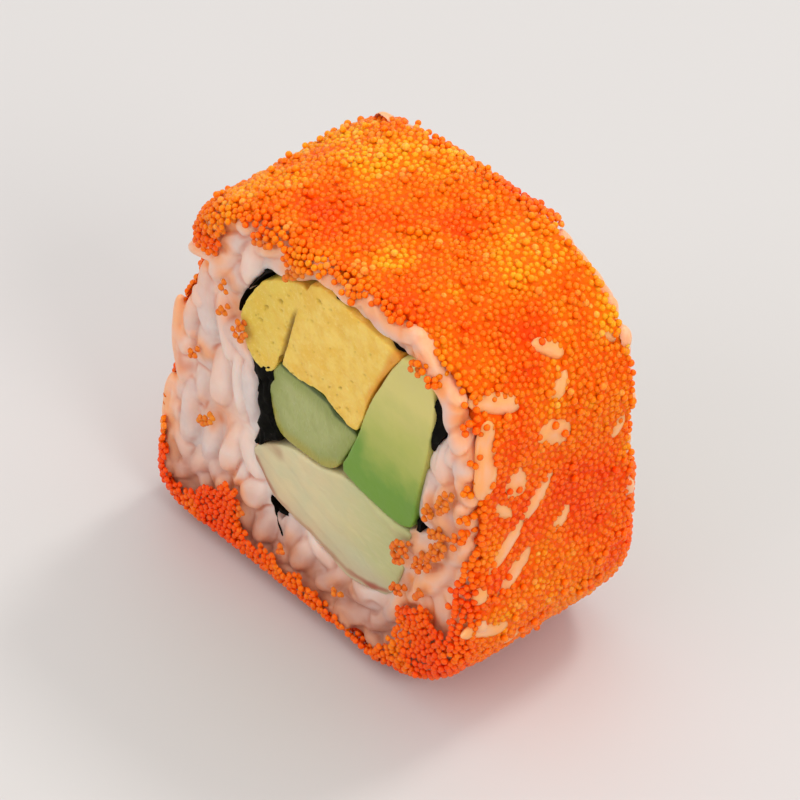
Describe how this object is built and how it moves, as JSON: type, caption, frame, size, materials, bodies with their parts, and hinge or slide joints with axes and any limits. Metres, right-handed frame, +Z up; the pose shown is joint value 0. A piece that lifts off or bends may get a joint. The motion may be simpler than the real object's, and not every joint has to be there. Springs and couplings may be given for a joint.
{
  "type": "california roll",
  "caption": "One slice of an inside-out sushi roll: fish roe over rice, nori, omelette, cucumber, avocado and crab stick, lying flat on its side.",
  "frame": {"origin": "middle of the slice's footprint, at the level it rests on", "axes": "+Z up, Y along the roll's axis with the cut faces at -Y and +Y, X across the width"},
  "size_m": [0.0459, 0.0204, 0.0445],
  "materials": {
    "roe": "small glossy translucent orange fish eggs",
    "rice": "moist short-grain rice, translucent white with a faint peach tint",
    "nori": "damp black-green seaweed sheet",
    "omelette": "soft yellow rolled omelette with fine pores",
    "cucumber": "wet pale grey-green flesh with a dark green skin along one side",
    "avocado": "smooth soft flesh, yellow-green turning deep green",
    "crab_stick": "moist creamy white fibres with a thin red skin along the lower edge"
  },
  "bodies": {
    "root": {"roe_coat": "roe", "rice": "rice", "nori": "nori", "omelette_strip": "omelette", "omelette_end": "omelette", "cucumber": "cucumber", "avocado": "avocado", "crab_stick": "crab_stick"}
  },
  "joints": []
}
